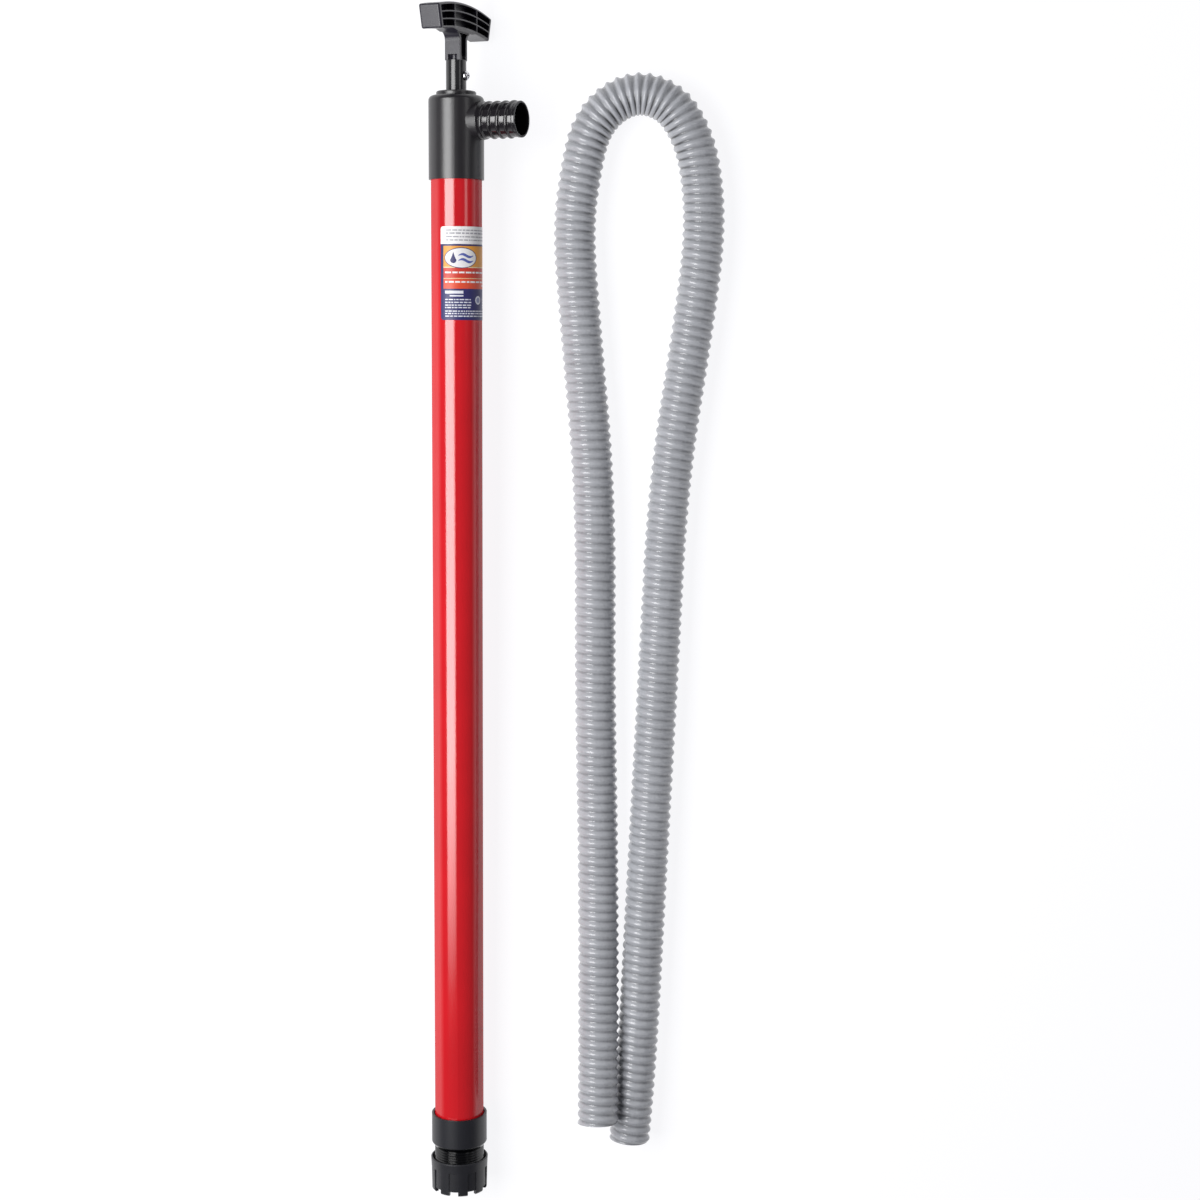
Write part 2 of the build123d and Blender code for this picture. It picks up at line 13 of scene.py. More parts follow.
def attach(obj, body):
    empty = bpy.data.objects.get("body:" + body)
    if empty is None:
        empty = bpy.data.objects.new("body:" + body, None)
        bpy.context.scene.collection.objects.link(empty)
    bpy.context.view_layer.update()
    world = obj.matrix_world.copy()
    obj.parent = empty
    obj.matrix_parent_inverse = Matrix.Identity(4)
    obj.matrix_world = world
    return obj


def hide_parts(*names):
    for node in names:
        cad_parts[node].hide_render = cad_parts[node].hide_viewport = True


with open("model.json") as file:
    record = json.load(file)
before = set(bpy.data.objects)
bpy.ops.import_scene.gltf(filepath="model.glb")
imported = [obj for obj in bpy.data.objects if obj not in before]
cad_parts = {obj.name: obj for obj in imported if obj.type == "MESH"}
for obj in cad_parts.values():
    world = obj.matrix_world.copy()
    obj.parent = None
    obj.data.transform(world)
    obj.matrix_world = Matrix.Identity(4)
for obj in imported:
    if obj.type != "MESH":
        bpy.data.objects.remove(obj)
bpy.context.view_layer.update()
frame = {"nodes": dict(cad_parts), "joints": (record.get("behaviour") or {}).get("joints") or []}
MM = 0.001

# ---------------------------------------------------------------- the pump's own directions

joints = {joint["name"]: joint for joint in frame["joints"]}
TURN_STATION = 940 * MM
ALONG = Vector(joints["piston_slide"]["axis"]).normalized()
RIGHT = Vector((0, 1, 0))
UP = RIGHT.cross(ALONG)
FOOT = Vector(joints["rod_turn"]["pos_m"]) - ALONG * TURN_STATION


def radial(angle):
    """The direction at an angle in degrees about the pump's axis, from up towards the outlet's side."""
    turn = math.radians(angle)
    return UP * math.cos(turn) + RIGHT * math.sin(turn)


def on_pump(station, radius, angle):
    """A point at a station along the pump, in millimetres from its foot, off its axis."""
    return FOOT + ALONG * (station * MM) + radial(angle) * (radius * MM)


# ---------------------------------------------------------------- camera

# Its place is in millimetres from the pump's foot: along the pump, aside and above its axis.
CAMERA_STATION = 735.6
CAMERA_ASIDE = 117.1
CAMERA_HEIGHT = 1730.8
CAMERA_TILT = 7.564
CAMERA_ROLL = 0.33
CAMERA_LENS = 63.62
SENSOR = 36.0


def placed(place, across, upward, back):
    """The matrix of a camera or light at a place, from the directions of its own X, Y and Z."""
    return Matrix.Translation(place) @ Matrix((across, upward, back)).transposed().to_4x4()


def make_camera():
    data = bpy.data.cameras.new("camera")
    data.sensor_width = SENSOR
    data.lens = CAMERA_LENS
    camera = bpy.data.objects.new("camera", data)
    bpy.context.scene.collection.objects.link(camera)
    tilt = math.radians(CAMERA_TILT)
    roll = math.radians(CAMERA_ROLL)
    back = ALONG * math.sin(tilt) + UP * math.cos(tilt)
    level_up = ALONG * math.cos(tilt) - UP * math.sin(tilt)
    across = RIGHT * math.cos(roll) + level_up * math.sin(roll)
    upward = level_up * math.cos(roll) - RIGHT * math.sin(roll)
    place = FOOT + (ALONG * CAMERA_STATION + RIGHT * CAMERA_ASIDE + UP * CAMERA_HEIGHT) * MM
    camera.matrix_world = placed(place, across, upward, back)
    bpy.context.scene.camera = camera


make_camera()


def new_piece(name, mesh, smooth):
    """An object for a mesh, with its faces turned outwards."""
    work = bmesh.new()
    work.from_mesh(mesh)
    bmesh.ops.recalc_face_normals(work, faces=work.faces)
    work.to_mesh(mesh)
    work.free()
    for polygon in mesh.polygons:
        polygon.use_smooth = smooth
    piece = bpy.data.objects.new(name, mesh)
    bpy.context.scene.collection.objects.link(piece)
    return piece


# ---------------------------------------------------------------- hose

# The hose lies as the CAD's does: the same route points, in metres.
HOSE_HEIGHT = 0.0173
HOSE_DIAMETER = 0.0345
HOSE_ROUTE = [
    (0.4287, 0.1014, 0.039),
    (0.25, 0.1014, HOSE_HEIGHT),
    (0.06, 0.0966, HOSE_HEIGHT),
    (-0.1, 0.0964, HOSE_HEIGHT),
    (-0.24, 0.0831, HOSE_HEIGHT),
    (-0.318, 0.0765, HOSE_HEIGHT),
    (-0.37, 0.0836, HOSE_HEIGHT),
    (-0.4005, 0.0913, HOSE_HEIGHT),
    (-0.4206, 0.1094, HOSE_HEIGHT),
    (-0.428, 0.1319, HOSE_HEIGHT),
    (-0.4199, 0.1549, HOSE_HEIGHT),
    (-0.4003, 0.1699, HOSE_HEIGHT),
    (-0.37, 0.1805, HOSE_HEIGHT),
    (-0.316, 0.1849, HOSE_HEIGHT),
    (-0.24, 0.1759, HOSE_HEIGHT),
    (-0.11, 0.1563, HOSE_HEIGHT),
    (0.04, 0.1499, HOSE_HEIGHT),
    (0.23, 0.1409, HOSE_HEIGHT),
    (0.395, 0.1336, HOSE_HEIGHT),
    (0.4505, 0.1282, HOSE_HEIGHT),
]
RIB_PITCH = 7.77 * MM
RIB_STEPS = 12
ROUND_STEPS = 48
CREST_RADIUS = HOSE_DIAMETER / 2
VALLEY_RADIUS = 15.35 * MM
HOSE_BORE_RADIUS = 14.3 * MM
RIB_SHARPNESS = 0.85
# What a bend does: the wall inside it is squeezed and the wall outside it is stretched.
BEND_SQUEEZE = 7.0 * MM
SQUEEZED_SHARPNESS = 2.0
STRETCHED_VALLEY = 0.8 * MM
# How much deeper the painted crease shade gets on the inside of a bend.
SQUEEZED_CREASE_SHADE = 4.0
AIM_STEP = 2 * MM


def smooth_path(name, points):
    """The NURBS curve that has these control points, as closely spaced points read from it."""
    data = bpy.data.curves.new(name, "CURVE")
    data.dimensions = "3D"
    data.resolution_u = 24
    spline = data.splines.new("NURBS")
    spline.points.add(len(points) - 1)
    for control, point in zip(spline.points, points):
        control.co = (*point, 1)
    spline.order_u = 3
    spline.use_endpoint_u = True
    curve = bpy.data.objects.new(name, data)
    bpy.context.scene.collection.objects.link(curve)
    bpy.context.view_layer.update()
    mesh = bpy.data.meshes.new_from_object(curve)
    found = np.array([vertex.co for vertex in mesh.vertices], float)
    bpy.data.objects.remove(curve)
    return found


def along_path(path, distances):
    """Points, forward directions and a steady sideways direction at distances along a path."""
    steps = np.linalg.norm(np.diff(path, axis=0), axis=1)
    reached = np.concatenate([[0], np.cumsum(steps)])

    def at(wanted):
        return np.stack([np.interp(wanted, reached, path[:, k]) for k in range(3)], 1)

    forward = at(distances + AIM_STEP) - at(distances - AIM_STEP)
    forward /= np.linalg.norm(forward, axis=1)[:, None]
    side = np.cross(np.array([0, 0, 1.0]), forward)
    side /= np.linalg.norm(side, axis=1)[:, None]
    return at(distances), forward, side


def rib_profile(phase, sharpness):
    """How far the wall stands out, from 0 in a valley to 1 on a crest, over one turn of the rib."""
    wave = 0.5 + 0.5 * np.cos(2 * np.pi * phase)
    return wave**sharpness


def bend_of(forward, side, stations):
    """The path's curvature towards its side direction, smoothed over three ribs."""
    change = np.gradient(forward, stations, axis=0)
    curvature = (change * side).sum(axis=1)
    window = 3 * RIB_STEPS
    return np.convolve(curvature, np.ones(window) / window, "same")


def closed_skin(name, rings):
    """A mesh over rings of points, each joined to the next and the last back to the first."""
    rows, columns = rings.shape[:2]
    quads = []
    for row in range(rows):
        here = row * columns
        beyond = (row + 1) % rows * columns
        for column in range(columns):
            after = (column + 1) % columns
            quads.append((here + column, here + after, beyond + after, beyond + column))
    mesh = bpy.data.meshes.new(name)
    mesh.from_pydata(rings.reshape(-1, 3).tolist(), [], quads)
    return new_piece(name, mesh, True)


def make_hose():
    """The hose's skin: helical ribs outside, and a plain bore from one cut end to the other."""
    path = smooth_path("hose_route", HOSE_ROUTE)
    length = float(np.linalg.norm(np.diff(path, axis=0), axis=1).sum())
    count = int(round(length / RIB_PITCH * RIB_STEPS)) + 1
    stations = np.linspace(0, length, count)
    turns = np.arange(ROUND_STEPS) / ROUND_STEPS
    points, forward, side = along_path(path, stations)
    upward = np.cross(forward, side)
    bend = bend_of(forward, side, stations)
    pitch = RIB_PITCH * (1 - BEND_SQUEEZE * np.abs(bend))
    ribs_passed = np.concatenate([[0], np.cumsum(np.diff(stations) / pitch[1:])])
    angle = 2 * np.pi * turns
    squeeze = CREST_RADIUS * bend[:, None] * np.cos(angle)
    sharpness = RIB_SHARPNESS * np.clip(1 - SQUEEZED_SHARPNESS * squeeze, 0.3, 2)
    standing = rib_profile(ribs_passed[:, None] + turns, sharpness)
    valley = VALLEY_RADIUS + STRETCHED_VALLEY * squeeze
    radius = valley + (CREST_RADIUS - valley) * standing
    outward = side[:, None, :] * np.cos(angle)[:, None] + upward[:, None, :] * np.sin(angle)[:, None]
    outer = points[:, None, :] + outward * radius[..., None]
    bore_rows = np.append(np.arange(count - 1, 0, -RIB_STEPS), 0)
    inner = points[bore_rows, None, :] + outward[bore_rows] * HOSE_BORE_RADIUS
    hose = closed_skin("ribbed_hose", np.concatenate([outer, inner], 0))
    # A per-point amount of painted shade for the hose's material: strongest in the valleys between
    # ribs, and stronger on the inside of bends.
    depth = np.zeros((count + len(bore_rows), ROUND_STEPS))
    depth[:count] = (1 - standing) * (1 + SQUEEZED_CREASE_SHADE * np.clip(squeeze, 0, None))
    crease_shade = hose.data.attributes.new("crease_shade", "FLOAT", "POINT")
    crease_shade.data.foreach_set("value", depth.ravel())
    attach(hose, "pump_body")
    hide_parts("hose")
    return hose


hose = make_hose()

# ---------------------------------------------------------------- materials


class Look:
    """A material under construction: a Principled shader fed from the piece's own coordinates."""

    def __init__(self, name, colour, roughness, **sockets):
        self.made = bpy.data.materials.new(name)
        self.made.use_nodes = True
        self.tree = self.made.node_tree
        self.shader = self.tree.nodes["Principled BSDF"]
        self.shader.inputs["Base Color"].default_value = (*colour, 1)
        self.shader.inputs["Roughness"].default_value = roughness
        for socket, value in sockets.items():
            self.shader.inputs[socket.replace("_", " ")].default_value = value
        self.place = self.node("ShaderNodeTexCoord").outputs["Object"]

    def node(self, kind, **values):
        """A node with its settings, and with its numbered or named inputs set or linked."""
        made = self.tree.nodes.new(kind)
        for key, value in values.pop("inputs", {}).items():
            if isinstance(value, bpy.types.NodeSocket):
                self.tree.links.new(value, made.inputs[key])
            else:
                made.inputs[key].default_value = value
        for key, value in values.items():
            setattr(made, key, value)
        return made

    def link(self, source, socket):
        self.tree.links.new(source, self.shader.inputs[socket])

    def noise(self, size, stretch=(1, 1, 1), detail=2.0):
        """Noise whose features are about as big as the size, in metres, times the stretch."""
        scale = tuple(1 / (size * times) for times in stretch)
        mapped = self.node("ShaderNodeMapping", inputs={"Vector": self.place, "Scale": scale})
        made = self.node("ShaderNodeTexNoise",
                         inputs={"Vector": mapped.outputs[0], "Scale": 1.0, "Detail": detail})
        return made.outputs["Fac"]

    def between(self, source, low, high, start=0.3, end=0.7):
        """A number that goes from low to high as the source goes from start to end."""
        made = self.node("ShaderNodeMapRange",
                         inputs={0: source, 1: start, 2: end, 3: low, 4: high})
        return made.outputs[0]

    def along(self, direction, start, end):
        """A number that goes from 0 to 1 between two distances from the pump's foot."""
        outward = self.node("ShaderNodeVectorMath", operation="SUBTRACT",
                            inputs={0: self.place, 1: tuple(FOOT)})
        reach = self.node("ShaderNodeVectorMath", operation="DOT_PRODUCT",
                          inputs={0: outward.outputs[0], 1: tuple(direction)})
        return self.between(reach.outputs["Value"], 0, 1, start, end)

    def mixed(self, share, first, second):
        made = self.node("ShaderNodeMix", data_type="FLOAT", inputs={0: share, 2: first, 3: second})
        return made.outputs[0]

    def tint(self, source, first, second):
        """The base colour, from the first to the second as the source goes from 0 to 1."""
        made = self.node("ShaderNodeMix", data_type="RGBA", inputs={0: source})
        colours = [socket for socket in made.inputs if socket.type == "RGBA"]
        colours[0].default_value = (*first, 1)
        colours[1].default_value = (*second, 1)
        self.link(next(out for out in made.outputs if out.type == "RGBA"), "Base Color")

    def relief(self, layers, rounding=0.0):
        """Bumps from (height source, depth in metres) pairs, over edges rounded by a radius."""
        normal = None
        if rounding:
            normal = self.node("ShaderNodeBevel", samples=4, inputs={"Radius": rounding}).outputs[0]
        for source, depth in layers:
            inputs = {"Height": source, "Distance": depth, "Strength": 1.0}
            if normal:
                inputs["Normal"] = normal
            normal = self.node("ShaderNodeBump", inputs=inputs).outputs[0]
        self.link(normal, "Normal")

    def put_on(self, piece):
        piece.data.materials.clear()
        piece.data.materials.append(self.made)


def lighter(colour, times):
    return tuple(part * times for part in colour)


def barrel_look():
    red = (0.55, 0.0082, 0.0140)
    look = Look("barrel_red", red, 0.12, Specular_IOR_Level=0.0, Coat_Weight=0.28, Coat_Roughness=0.13,
                Coat_IOR=3.0)
    streaks = look.noise(1.2 * MM, stretch=(90, 1, 1))
    patches = look.noise(60 * MM)
    look.tint(look.between(patches, 0, 1), red, lighter(red, 0.9))
    look.link(look.between(streaks, 0.10, 0.19), "Roughness")
    look.relief([(streaks, 0.004 * MM), (patches, 0.03 * MM)], 0.4 * MM)
    return look


def moulded_look(name, colour, rough, grain, grain_depth, rounding, shine=0.5, glossy=None, dark=None):
    """Moulded plastic with a fine grain, and perhaps a glossier zone or a darker zone of painted shade.

    A zone is a direction from the pump's foot, the two distances along it between which the zone
    comes in, and the roughness or the share of the colour there. A darker zone is glossy as well."""
    look = Look(name, colour, rough, Specular_IOR_Level=shine)
    fine = look.noise(grain)
    patches = look.noise(9 * MM, detail=3.0)
    roughness = look.between(fine, rough - 0.03, rough + 0.03)
    if glossy:
        zone = look.along(*glossy[:3])
        smooth = look.between(fine, glossy[3] - 0.02, glossy[3] + 0.02)
        roughness = look.mixed(zone, roughness, smooth)
        fine = look.mixed(zone, fine, look.between(fine, 0.45, 0.55, 0, 1))
    # A darker zone is painted shade: the colour there falls to the given share.
    if dark:
        zone = look.along(*dark[:3])
        look.tint(zone, colour, lighter(colour, dark[3]))
        roughness = look.mixed(zone, roughness, look.between(fine, 0.12, 0.18))
    else:
        look.tint(look.between(patches, 0, 1), colour, lighter(colour, 1.25))
    look.link(roughness, "Roughness")
    look.relief([(fine, grain_depth)], rounding)
    return look


def rod_look():
    black = (0.012, 0.012, 0.013)
    look = Look("rod_black", black, 0.18, Coat_Weight=0.3, Coat_Roughness=0.06)
    streaks = look.noise(0.8 * MM, stretch=(80, 1, 1))
    look.tint(look.between(streaks, 0, 1), black, lighter(black, 1.5))
    look.link(look.between(streaks, 0.14, 0.24), "Roughness")
    look.relief([(streaks, 0.003 * MM)])
    return look


def hose_look():
    grey = (0.40, 0.41, 0.438)
    look = Look("hose_grey", grey, 0.3, Coat_Weight=0.4, Coat_Roughness=0.14)
    patches = look.noise(14 * MM, detail=3.0)
    ripples = look.noise(2.5 * MM)
    # Painted shade: the colour darkens in the valleys between ribs by the per-point amount from the
    # hose's mesh, with a random mottle of tone added.
    crease_shade = look.node("ShaderNodeAttribute", attribute_name="crease_shade").outputs["Fac"]
    painted_crease_shade = look.between(crease_shade, 0, 1.0, 0.62, 1.5)
    mottle = look.between(patches, 0, 0.12)
    dark = look.node("ShaderNodeMath", operation="ADD", inputs={0: painted_crease_shade, 1: mottle}).outputs[0]
    look.tint(dark, grey, lighter(grey, 0.15))
    look.link(look.between(ripples, 0.24, 0.4), "Roughness")
    look.relief([(ripples, 0.1 * MM), (patches, 0.5 * MM)])
    return look


def screw_look():
    look = Look("bright_steel", (0.72, 0.72, 0.74), 0.18, Metallic=1.0)
    brushed = look.noise(0.25 * MM, stretch=(1, 6, 1))
    look.link(look.between(brushed, 0.12, 0.3), "Roughness")
    look.relief([(brushed, 0.004 * MM)], 0.3 * MM)
    return look


def seal_look():
    black = (0.012, 0.012, 0.012)
    look = Look("seal_rubber", black, 0.55)
    fine = look.noise(0.5 * MM)
    look.tint(look.between(fine, 0, 1), black, lighter(black, 1.8))
    look.link(look.between(fine, 0.48, 0.66), "Roughness")
    look.relief([(fine, 0.02 * MM)], 0.2 * MM)
    return look


def inner_look():
    white = (0.74, 0.73, 0.69)
    look = Look("inner_white", white, 0.42, Subsurface_Weight=0.1, Subsurface_Scale=1.5 * MM)
    patches = look.noise(5 * MM)
    look.tint(look.between(patches, 0, 1), white, lighter(white, 0.93))
    look.link(look.between(patches, 0.36, 0.5), "Roughness")
    look.relief([(look.noise(0.4 * MM), 0.01 * MM)], 0.3 * MM)
    return look


def ink_look(name, colour):
    """Printed film: even colour with a little mottle, under a satin face."""
    look = Look(name, colour, 0.42)
    mottle = look.noise(1.1 * MM)
    look.tint(look.between(mottle, 0, 1), colour, lighter(colour, 0.94))
    look.link(look.between(look.noise(6 * MM), 0.38, 0.48), "Roughness")
    look.relief([(mottle, 0.003 * MM)])
    return look


SPOUT_OUT = radial(66)
LOOKS = {
    barrel_look(): ("barrel_tube",),
    moulded_look("head_black", (0.0085, 0.0075, 0.0092), 0.32, 0.45 * MM, 0.02 * MM, 0.5 * MM,
                 shine=0.78, glossy=(SPOUT_OUT, 23.5 * MM, 25 * MM, 0.08)):
        ("outlet_head", "gland_cap"),
    moulded_look("handle_black", (0.0110, 0.0098, 0.0175), 0.29, 0.4 * MM, 0.004 * MM, 0.5 * MM):
        ("handle",),
    # The adapter's thread below its collar, from 40.5 mm down, is painted with shade: its colour falls
    # to 0.12 there.
    moulded_look("adapter_black", (0.0125, 0.0130, 0.0170), 0.38, 0.5 * MM, 0.02 * MM, 0.4 * MM,
                 dark=(-ALONG, -41.9 * MM, -40.5 * MM, 0.12)): ("foot_adapter",),
    moulded_look("cap_black", (0.0120, 0.0123, 0.0155), 0.38, 0.5 * MM, 0.02 * MM, 0.4 * MM):
        ("strainer_cap",),
    rod_look(): ("piston_rod",),
    screw_look(): ("handle_screw",),
    seal_look(): ("head_gasket", "rod_seal", "foot_valve_disc", "piston_cup", "piston_valve_disc"),
    inner_look(): ("foot_valve_seat", "foot_valve_pin", "intake_screen", "piston_head", "piston_nut",
                   "rod_end_plug"),
}
for look, names in LOOKS.items():
    for name in names:
        look.put_on(frame["nodes"][name])
hose_look().put_on(hose)

# ---------------------------------------------------------------- printed label

# The label's sizes are in millimetres, and its start and span are in degrees about the pump's axis.
BARREL_RADIUS = 20.5
LABEL_TOP = 807.6
LABEL_HEIGHT = 74.0
LABEL_START = -34.0
LABEL_SPAN = 215.0
LABEL_FACE = 20.7
LABEL_WIDTH = math.radians(LABEL_SPAN) * LABEL_FACE
LABEL_CORNER = 2.5
INK = 0.025
COLUMN = 1.2


def label_point(across, down, radius):
    """A point on the label, in millimetres from its left edge and from its top."""
    return on_pump(LABEL_TOP - down, radius, LABEL_START + math.degrees(across / LABEL_FACE))


def block(left, right, top, bottom):
    """A shape on the label as columns (across, top, bottom): a plain rectangle."""
    count = max(1, math.ceil((right - left) / COLUMN))
    return [(left + (right - left) * n / count, top, bottom) for n in range(count + 1)]


def oval(across, down, half_width, half_height, count=30):
    """An oval, cut a little short at its left and right."""
    columns = []
    for n in range(count + 1):
        turn = math.pi * (0.03 + 0.94 * n / count)
        rise = half_height * math.sin(turn)
        columns.append((across - half_width * math.cos(turn), down - rise, down + rise))
    return columns


def rounded_sheet():
    """The whole label, with rounded corners."""
    columns = []
    for across, _, _ in block(0, LABEL_WIDTH, 0, LABEL_HEIGHT):
        columns.append((across, 0, LABEL_HEIGHT))
    corner = []
    for n in range(1, 7):
        turn = math.radians(15 * n)
        corner.append((LABEL_CORNER * (1 - math.cos(turn)), LABEL_CORNER * (1 - math.sin(turn))))
    left = [(0.02, LABEL_CORNER * 0.98, LABEL_HEIGHT - LABEL_CORNER * 0.98)]
    left += [(across, inset, LABEL_HEIGHT - inset) for across, inset in corner]
    right = [(LABEL_WIDTH - across, top, bottom) for across, top, bottom in reversed(left)]
    middle = [c for c in columns if LABEL_CORNER < c[0] < LABEL_WIDTH - LABEL_CORNER]
    return left + middle + right


def clipped(columns, top, bottom):
    """A shape cut to the rows between top and bottom."""
    return [(across, max(top, high), min(bottom, low)) for across, high, low in columns]


def drop(across, down, half_width, height):
    """A drop of liquid, with its tip at the top."""
    columns = []
    for n in range(-9, 10):
        share = n / 9.4
        tip = (height - half_width) * (1 - abs(share)) ** 1.5
        bulge = half_width * math.sqrt(1 - share * share)
        columns.append((across + half_width * share, down - tip - 0.15 * bulge, down + bulge))
    return columns


def swash(left, right, down, height, thickness):
    """A wave: one crest and one hollow between left and right."""
    columns = []
    for n in range(25):
        share = n / 24
        middle = down - height * math.sin(2 * math.pi * share)
        half = thickness * (0.12 + 0.5 * math.sin(math.pi * share))
        columns.append((left + (right - left) * share, middle - half, middle + half))
    return columns


def words(seed, left, right, down, height, longest):
    """A line of word-like bars of uneven length, which spell nothing."""
    draw = random.Random(seed)
    shapes = []
    across = left
    while True:
        width = draw.uniform(0.25, 1.0) * longest
        if across + width > right:
            return shapes
        shapes.append(block(across, across + width, down - height / 2, down + height / 2))
        across += width + 0.8 * height


def print_on(name, shapes, level, colour, under=0.0):
    """A thin printed layer: closed strips over the shapes, each level standing on the last."""
    high = LABEL_FACE + INK * level
    low = high - INK - under
    points = []
    faces = []
    for columns in shapes:
        start = len(points)
        for across, top, bottom in columns:
            points += [label_point(across, top, high), label_point(across, bottom, high),
                       label_point(across, bottom, low), label_point(across, top, low)]
        for n in range(len(columns) - 1):
            here = start + 4 * n
            for k in range(4):
                after = (k + 1) % 4
                faces.append((here + k, here + after, here + 4 + after, here + 4 + k))
        last = start + 4 * (len(columns) - 1)
        faces.append((start, start + 1, start + 2, start + 3))
        faces.append((last + 3, last + 2, last + 1, last))
    mesh = bpy.data.meshes.new(name)
    mesh.from_pydata([tuple(point) for point in points], [], faces)
    piece = new_piece(name, mesh, False)
    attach(piece, "pump_body")
    ink_look("ink_" + name, colour).put_on(piece)
    return piece


STRIP_FOOT = 13.9
PANEL_TOP = 15.4
PANEL_FOOT = 32.6
BAND_SPLIT = 41.0
BAND_FOOT = 49.2
MARGIN = 2.6
OVAL_CENTRE = 17.5
OVAL_DOWN = 24.8
WAVE_LEFT = OVAL_CENTRE - 2.6
WAVE_RIGHT = OVAL_CENTRE + 10.4
SEAL_CENTRE = 33.5
SEAL_DOWN = 58.2
SEAL_RADIUS = 3.4
SEAL_MIDDLE_RADIUS = 2.2
STRIP_ROWS = ((3.0, 0.9), (5.4, 1.1), (8.2, 0.9), (10.8, 0.9))
SMALL_ROWS = (0.78, 0.81, 0.84, 0.866, 0.904, 0.93, 0.958)
SMALL_HEIGHT = 0.9
SMALL_LONGEST = 4.0
# The first rows of small words stop short of the seal, and go on to its right.
SPLIT_ROWS = 4
SPLIT_LEFT = 26.0
SPLIT_RIGHT = 42.0
BLUE = (0.020, 0.020, 0.115)
MID_BLUE = (0.07, 0.10, 0.36)
SEAL_BLUE = (0.25, 0.27, 0.42)
AMBER = (0.70, 0.30, 0.035)
RED = (0.55, 0.040, 0.022)
ORANGE = (0.66, 0.070, 0.028)
CREAM = (0.78, 0.68, 0.40)
PALE = (0.66, 0.67, 0.74)
GREY = (0.30, 0.30, 0.33)
WHITE = (0.76, 0.75, 0.76)
right_edge = LABEL_WIDTH - MARGIN
sheet = print_on("label_sheet", [rounded_sheet()], 0, BLUE, LABEL_FACE - BARREL_RADIUS - INK)
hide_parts("product_label")
print_on("label_strip", [clipped(rounded_sheet(), 0, STRIP_FOOT)], 1, WHITE)
print_on("label_panel", [block(MARGIN, right_edge, PANEL_TOP, PANEL_FOOT)], 1, AMBER)
print_on("label_red_band", [block(MARGIN, right_edge, PANEL_FOOT, BAND_SPLIT)], 1, RED)
print_on("label_orange_band", [block(MARGIN, right_edge, BAND_SPLIT, BAND_FOOT)], 1, ORANGE)
print_on("label_rules", [block(MARGIN, right_edge, PANEL_FOOT - 0.7, PANEL_FOOT),
                         block(MARGIN, right_edge, BAND_SPLIT - 0.2, BAND_SPLIT + 0.2)], 2, CREAM)
print_on("label_oval_edge", [oval(OVAL_CENTRE, OVAL_DOWN, 13.9, 8.25)], 3, BLUE)
print_on("label_oval", [oval(OVAL_CENTRE, OVAL_DOWN, 13.3, 7.65)], 4, WHITE)
print_on("label_emblem", [drop(OVAL_CENTRE - 6.6, OVAL_DOWN + 1.6, 2.6, 8.6)], 5, BLUE)
print_on("label_waves", [swash(WAVE_LEFT, WAVE_RIGHT, OVAL_DOWN - 1.8, 1.1, 1.9),
                         swash(WAVE_LEFT, WAVE_RIGHT, OVAL_DOWN + 2.2, 1.1, 1.9)], 5, MID_BLUE)
grey_words = []
for row, (down, height) in enumerate(STRIP_ROWS):
    grey_words += words(row, 5.0, right_edge, down, height, 5.0)
print_on("label_strip_words", grey_words, 2, GREY)
band_words = words(20, 4.0, right_edge, 36.3, 1.3, 5.5) + words(21, 4.0, right_edge, 43.8, 1.3, 5.5)
band_words += words(22, 40.0, right_edge, 46.6, 1.0, 4.5)
print_on("label_band_words", band_words, 3, WHITE)
small_words = [block(4.0, 19.0, 50.7, 53.0), block(8.0, 19.0, 54.2, 55.3)]
for row, share in enumerate(SMALL_ROWS):
    down = share * LABEL_HEIGHT
    right = SPLIT_LEFT if row < SPLIT_ROWS else right_edge
    small_words += words(40 + row, 4.0, right, down, SMALL_HEIGHT, SMALL_LONGEST)
    if row < SPLIT_ROWS:
        small_words += words(60 + row, SPLIT_RIGHT, right_edge, down, SMALL_HEIGHT, SMALL_LONGEST)
print_on("label_small_words", small_words, 1, PALE)
print_on("label_seal", [oval(SEAL_CENTRE, SEAL_DOWN, SEAL_RADIUS, SEAL_RADIUS)], 1, PALE)
print_on("label_seal_middle",
         [oval(SEAL_CENTRE, SEAL_DOWN, SEAL_MIDDLE_RADIUS, SEAL_MIDDLE_RADIUS)], 2, SEAL_BLUE)

# ---------------------------------------------------------------- floor and lights

FLOOR_HALF = 40.0
FLOOR_COLOUR = (0.15, 0.15, 0.15)
FLOOR_GLOW = 0.91


def make_floor():
    mesh = bpy.data.meshes.new("floor")
    corners = [(-FLOOR_HALF, -FLOOR_HALF, 0), (FLOOR_HALF, -FLOOR_HALF, 0),
               (FLOOR_HALF, FLOOR_HALF, 0), (-FLOOR_HALF, FLOOR_HALF, 0)]
    mesh.from_pydata(corners, [], [(0, 1, 2, 3)])
    floor = bpy.data.objects.new("floor", mesh)
    bpy.context.scene.collection.objects.link(floor)
    look = Look("floor_white", FLOOR_COLOUR, 0.9, Specular_IOR_Level=0.0, Emission_Strength=FLOOR_GLOW)
    look.shader.inputs["Emission Color"].default_value = (0.98, 0.98, 1.0, 1)
    look.put_on(floor)


make_floor()

AIM_HEIGHT = 0.02
PUMP_Y = FOOT.y


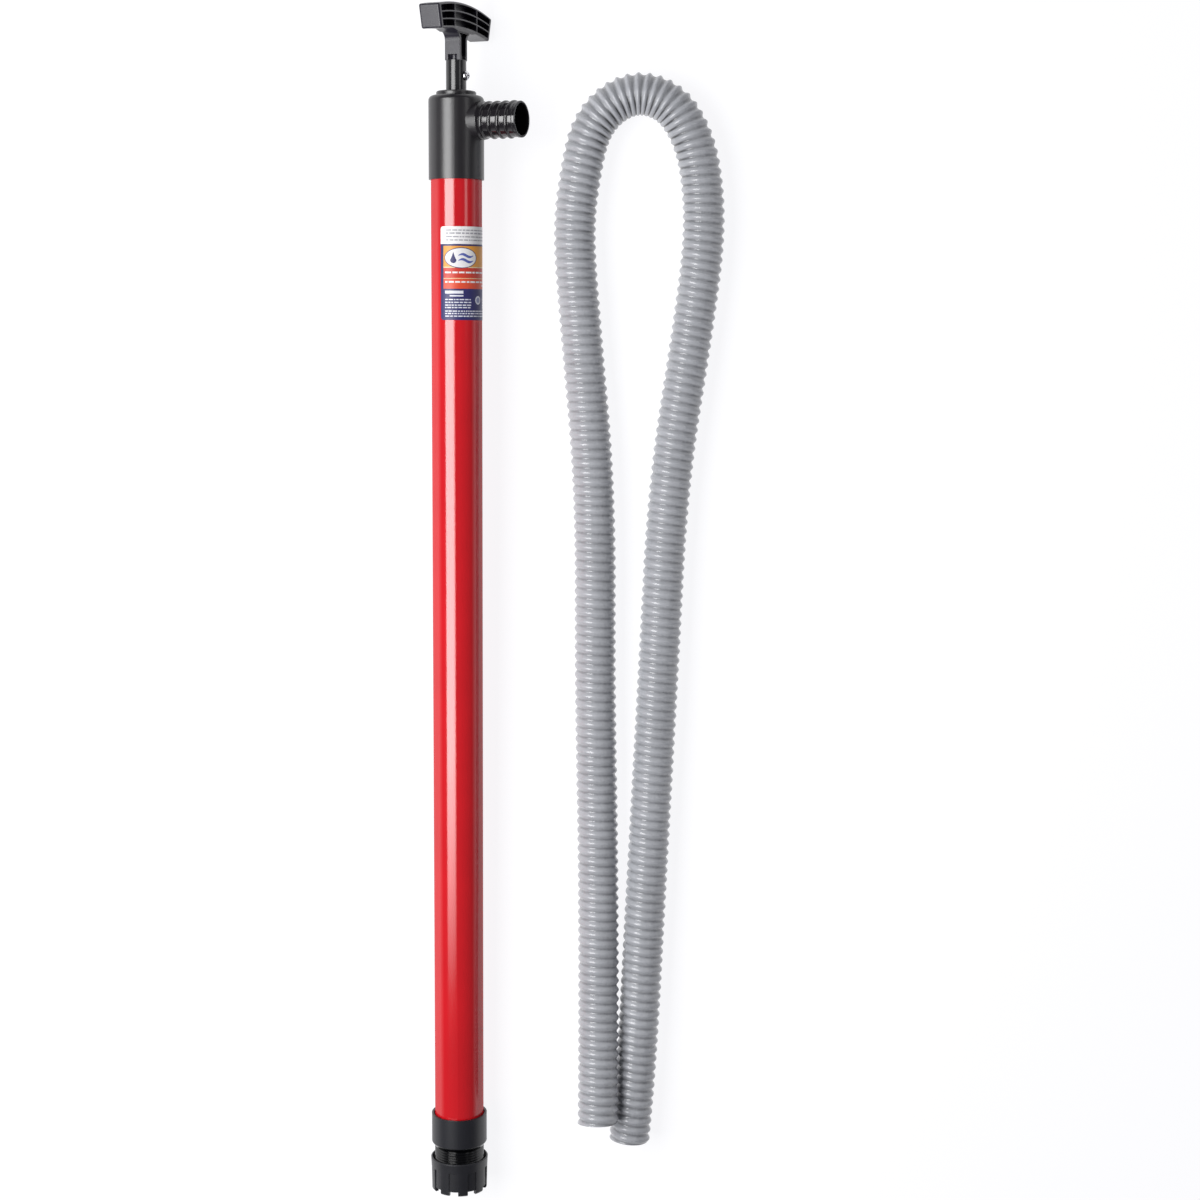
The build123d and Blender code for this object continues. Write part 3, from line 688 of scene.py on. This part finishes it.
def softbox(name, start, end, angle, distance, width, power):
    """A flat light along the pump from one X to another, tipped by an angle from straight above."""
    data = bpy.data.lights.new(name, "AREA")
    data.shape = "RECTANGLE"
    data.size = end - start
    data.size_y = width
    data.energy = power * (end - start) * width
    light = bpy.data.objects.new(name, data)
    bpy.context.scene.collection.objects.link(light)
    turn = math.radians(angle)
    away = Vector((0, math.sin(turn), math.cos(turn)))
    place = Vector(((start + end) / 2, PUMP_Y, AIM_HEIGHT)) + away * distance
    side = Vector((1, 0, 0))
    light.matrix_world = placed(place, side, away.cross(side), away)


# The key is a long softbox whose foot end fades out in steps. The fill lights the outlet's side.
KEY_START = -0.75
KEY_END = 0.42
KEY_ANGLE = -32.0
KEY_DISTANCE = 1.25
KEY_WIDTH = 0.775
KEY_POWER = 25.0
FADE_STEPS = 5
FADE_LENGTH = 0.06
FADE_FIRST = 0.85
FADE_LOSS = 0.17
FILL_START = -1.25
FILL_END = -0.28
FILL_ANGLE = 46.5
FILL_DISTANCE = 1.4
FILL_WIDTH = 0.3
FILL_SHARE = 0.2
softbox("key", KEY_START, KEY_END, KEY_ANGLE, KEY_DISTANCE, KEY_WIDTH, KEY_POWER)
for step in range(FADE_STEPS):
    start = KEY_END + FADE_LENGTH * step
    softbox("key_fade_%d" % step, start, start + FADE_LENGTH, KEY_ANGLE, KEY_DISTANCE, KEY_WIDTH,
            KEY_POWER * (FADE_FIRST - FADE_LOSS * step))
softbox("fill", FILL_START, FILL_END, FILL_ANGLE, FILL_DISTANCE, FILL_WIDTH, KEY_POWER * FILL_SHARE)


def make_world():
    """A studio's walls: pale near the floor, and dark higher up."""
    world = bpy.data.worlds.new("studio")
    world.use_nodes = True
    tree = world.node_tree
    direction = tree.nodes.new("ShaderNodeTexCoord")
    height = tree.nodes.new("ShaderNodeSeparateXYZ")
    tree.links.new(direction.outputs["Generated"], height.inputs[0])
    fade = tree.nodes.new("ShaderNodeValToRGB")
    fade.color_ramp.interpolation = "EASE"
    pale, dark = fade.color_ramp.elements
    pale.position = 0.02
    pale.color = (0.62, 0.62, 0.64, 1)
    dark.position = 0.32
    dark.color = (0.10, 0.10, 0.11, 1)
    tree.links.new(height.outputs["Z"], fade.inputs[0])
    tree.links.new(fade.outputs[0], tree.nodes["Background"].inputs[0])
    bpy.context.scene.world = world


make_world()
bpy.context.scene.view_settings.view_transform = "Standard"
